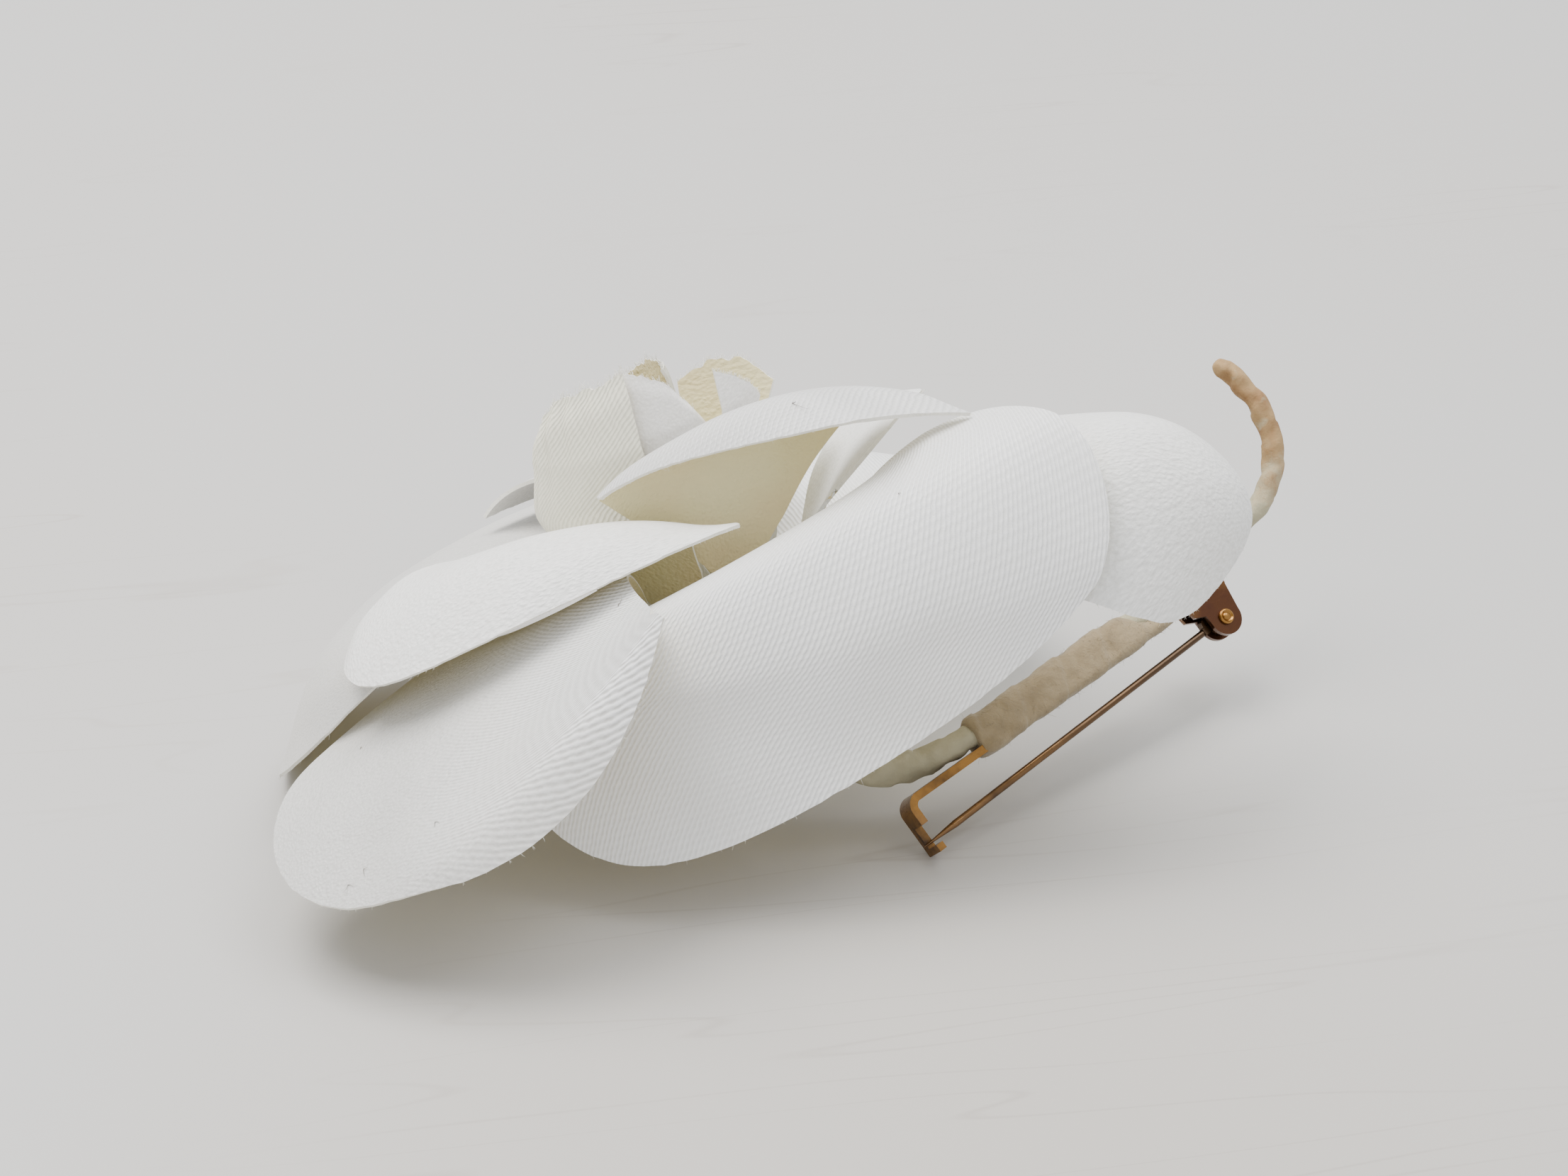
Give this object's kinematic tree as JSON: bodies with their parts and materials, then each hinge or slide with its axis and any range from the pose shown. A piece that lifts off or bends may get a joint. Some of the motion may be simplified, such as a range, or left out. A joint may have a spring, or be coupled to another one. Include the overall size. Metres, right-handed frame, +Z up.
{
  "type": "corsage brooch",
  "caption": "White satin fabric flower with a rolled bud, curved petals and a taped wire stem, bound to a bar pin with a swinging pin wire and an open catch.",
  "frame": {"origin": "on the table, at the centre of the bounding box's bottom face, with the brooch lying as it rests by itself", "axes": "+Z up from the table, +X from the left petals to the stem's free tail, -Y towards the large front petal"},
  "size_m": [0.0967, 0.0581, 0.0402],
  "materials": {
    "satin": "white satin, soft sheen",
    "satin_bud": "white satin, raw frayed edges",
    "base_felt": "pale green-cream cloth, matt",
    "stem_tape": "crepe tape over wire, matt",
    "binding_tape": "fibrous tan tape, matt",
    "gilt_bar": "gilt, worn and tarnished",
    "rivet_brass": "worn brass",
    "pin_wire": "brown tarnished wire"
  },
  "bodies": {
    "flower": {"petal_front": "satin", "petal_left": "satin", "petal_far_left": "satin", "petal_right": "satin", "petal_back": "satin", "inner_front": "satin", "inner_left": "satin", "inner_far_left": "satin", "inner_right": "satin", "inner_back": "satin", "bud_outer": "satin_bud", "bud_middle": "satin_bud", "bud_core": "satin_bud", "bud_fold": "satin_bud", "bud_flap": "satin_bud", "flower_base": "base_felt", "stem": "stem_tape", "tape": "binding_tape", "bar": "gilt_bar", "rivet": "rivet_brass"},
    "pin": {"pin": "pin_wire"}
  },
  "joints": [
    {"name": "pin_swing", "type": "hinge", "parent": "flower", "child": "pin", "pos_m": [0.04034, 0.0005, 0.00785], "axis": [0.238, -0.6212, 0.7467], "range_deg": [0, 100]}
  ]
}
